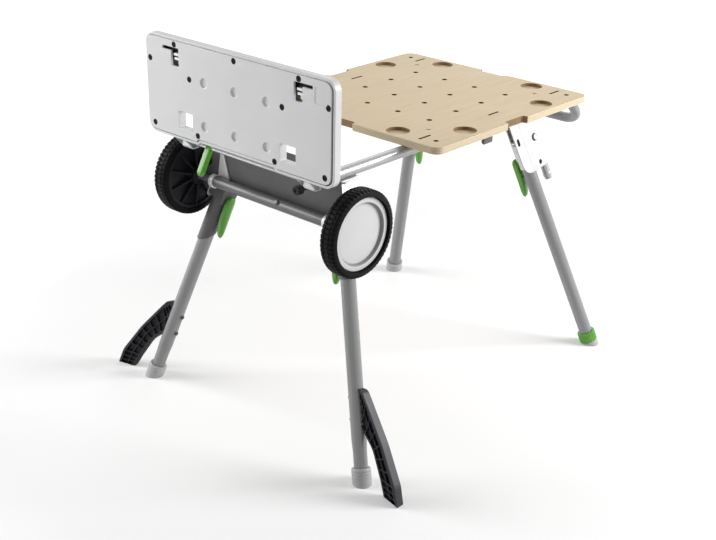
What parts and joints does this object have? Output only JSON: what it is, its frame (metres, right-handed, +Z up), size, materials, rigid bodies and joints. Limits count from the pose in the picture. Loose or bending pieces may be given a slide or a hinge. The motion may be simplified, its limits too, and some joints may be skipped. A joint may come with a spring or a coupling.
{
  "type": "folding saw stand",
  "caption": "Folding wheeled saw stand with splayed tube legs, plywood top on two rails, bent handle, ribbed outriggers and an upright hinged toe plate.",
  "frame": {"origin": "on the floor under the middle of the stand's box", "axes": "+Z up, +X along the wheel axle, +Y from the toe plate towards the handle"},
  "size_m": [0.8226, 0.9332, 0.786],
  "materials": {
    "plywood": "clear-coated birch plywood",
    "silver_tube": "satin silver",
    "bright_sheet": "satin zinc",
    "dark_sheet": "dark grey powder coat",
    "green_plastic": "moulded green",
    "black_plastic": "moulded black",
    "tyre": "solid black tyre",
    "pale_plastic": "moulded light grey",
    "zinc_steel": "zinc plated"
  },
  "bodies": {
    "frame": {"board": "plywood", "board_screw_1": "zinc_steel", "board_screw_2": "zinc_steel", "board_screw_3": "zinc_steel", "board_screw_4": "zinc_steel", "rail_left": "silver_tube", "hinge_block_left": "bright_sheet", "front_leg_pin_left": "zinc_steel", "front_leg_bracket_left": "dark_sheet", "rear_leg_pin_left": "zinc_steel", "rear_leg_bracket_left": "bright_sheet", "rail_right": "silver_tube", "hinge_block_right": "bright_sheet", "front_leg_pin_right": "zinc_steel", "front_leg_bracket_right": "dark_sheet", "rear_leg_pin_right": "zinc_steel", "rear_leg_bracket_right": "bright_sheet", "handle_bow": "silver_tube", "axle_tube": "silver_tube", "front_apron": "dark_sheet", "cross_brace": "dark_sheet", "axle_rod": "zinc_steel", "hinge_rod": "zinc_steel", "front_buffer": "black_plastic"},
    "front_leg_left": {"front_leg_tube_left": "silver_tube", "front_leg_socket_left": "dark_sheet", "front_leg_cap_left": "pale_plastic", "front_leg_outrigger_left": "black_plastic", "front_leg_outrigger_bolt_1_left": "zinc_steel", "front_leg_outrigger_bolt_2_left": "zinc_steel"},
    "rear_leg_left": {"rear_leg_tube_left": "silver_tube", "rear_leg_knuckle_left": "dark_sheet", "rear_leg_cap_left": "pale_plastic"},
    "front_lever_left": {"front_leg_lever_left": "green_plastic"},
    "rear_lever_left": {"rear_leg_lever_left": "green_plastic"},
    "wheel_left": {"tyre_left": "tyre", "wheel_rim_left": "black_plastic", "wheel_cover_left": "pale_plastic"},
    "front_leg_right": {"front_leg_tube_right": "silver_tube", "front_leg_socket_right": "dark_sheet", "front_leg_cap_right": "pale_plastic", "front_leg_outrigger_right": "black_plastic", "front_leg_outrigger_bolt_1_right": "zinc_steel", "front_leg_outrigger_bolt_2_right": "zinc_steel"},
    "rear_leg_right": {"rear_leg_tube_right": "silver_tube", "rear_leg_knuckle_right": "dark_sheet"},
    "front_lever_right": {"front_leg_lever_right": "green_plastic"},
    "rear_lever_right": {"rear_leg_lever_right": "green_plastic"},
    "wheel_right": {"tyre_right": "tyre", "wheel_rim_right": "black_plastic", "wheel_cover_right": "pale_plastic"},
    "adjuster_ring": {"adjuster_ring": "green_plastic"},
    "adjuster_foot": {"adjuster_foot": "pale_plastic"},
    "toe_plate": {"plate_panel": "pale_plastic", "plate_frame": "pale_plastic", "latch_hook_left": "zinc_steel", "latch_hook_right": "zinc_steel"},
    "plate_lever": {"plate_lever": "green_plastic"}
  },
  "joints": [
    {"name": "front_leg_fold_left", "type": "hinge", "parent": "frame", "child": "front_leg_left", "pos_m": [-0.15916, -0.33834, 0.48259], "axis": [0.955, 0, -0.2965], "range_deg": [0, 101.1]},
    {"name": "front_lever_squeeze_left", "type": "hinge", "parent": "front_leg_left", "child": "front_lever_left", "pos_m": [-0.1629, -0.35571, 0.39128], "axis": [-0.0572, 0.9812, -0.1844], "range_deg": [0, 8], "stiffness_Nm_per_rad": 0.5, "springref_deg": -11.46},
    {"name": "front_leg_fold_right", "type": "hinge", "parent": "frame", "child": "front_leg_right", "pos_m": [0.15916, -0.33834, 0.48259], "axis": [0.955, 0, 0.2965], "range_deg": [0, 101.1]},
    {"name": "front_lever_squeeze_right", "type": "hinge", "parent": "front_leg_right", "child": "front_lever_right", "pos_m": [0.1629, -0.35571, 0.39128], "axis": [-0.0572, -0.9812, 0.1844], "range_deg": [0, 8], "stiffness_Nm_per_rad": 0.5, "springref_deg": -11.46},
    {"name": "rear_leg_fold_left", "type": "hinge", "parent": "frame", "child": "rear_leg_left", "pos_m": [-0.14843, 0.27376, 0.49392], "axis": [-0.9533, 0, 0.3022], "range_deg": [0, 104.1]},
    {"name": "rear_lever_squeeze_left", "type": "hinge", "parent": "rear_leg_left", "child": "rear_lever_left", "pos_m": [-0.15454, 0.2676, 0.39687], "axis": [0.0737, 0.9698, 0.2326], "range_deg": [0, 8], "stiffness_Nm_per_rad": 0.5, "springref_deg": -11.46},
    {"name": "rear_leg_fold_right", "type": "hinge", "parent": "frame", "child": "rear_leg_right", "pos_m": [0.14843, 0.27376, 0.49392], "axis": [-0.9533, 0, -0.3022], "range_deg": [0, 104.1]},
    {"name": "rear_lever_squeeze_right", "type": "hinge", "parent": "rear_leg_right", "child": "rear_lever_right", "pos_m": [0.15454, 0.2676, 0.39687], "axis": [0.0737, -0.9698, -0.2326], "range_deg": [0, 8], "stiffness_Nm_per_rad": 0.5, "springref_deg": -11.46},
    {"name": "wheel_spin_left", "type": "hinge", "parent": "frame", "child": "wheel_left", "pos_m": [-0.213, -0.37975, 0.48], "axis": [1, 0, 0], "continuous": true},
    {"name": "wheel_spin_right", "type": "hinge", "parent": "frame", "child": "wheel_right", "pos_m": [0.213, -0.37975, 0.48], "axis": [1, 0, 0], "continuous": true},
    {"name": "toe_plate_fold", "type": "hinge", "parent": "frame", "child": "toe_plate", "pos_m": [0, -0.43275, 0.5737], "axis": [-1, 0, 0], "range_deg": [0, 90]},
    {"name": "plate_lever_pull", "type": "hinge", "parent": "frame", "child": "plate_lever", "pos_m": [-0.11, -0.43275, 0.5737], "axis": [-1, 0, 0], "range_deg": [0, 15], "stiffness_Nm_per_rad": 0.5, "springref_deg": -11.46},
    {"name": "adjuster_turn", "type": "hinge", "parent": "rear_leg_right", "child": "adjuster_ring", "pos_m": [0.15057, 0.24564, 0.48717], "axis": [-0.293, -0.244, 0.9244], "range_deg": [0, 720]},
    {"name": "adjuster_slide", "type": "slide", "parent": "rear_leg_right", "child": "adjuster_foot", "axis": [0.293, 0.244, -0.9244], "range_m": [0, 0.02]}
  ],
  "couplings": [
    {"joint": "adjuster_slide", "follows": "adjuster_turn", "m_per_rad": 0.0015915}
  ]
}
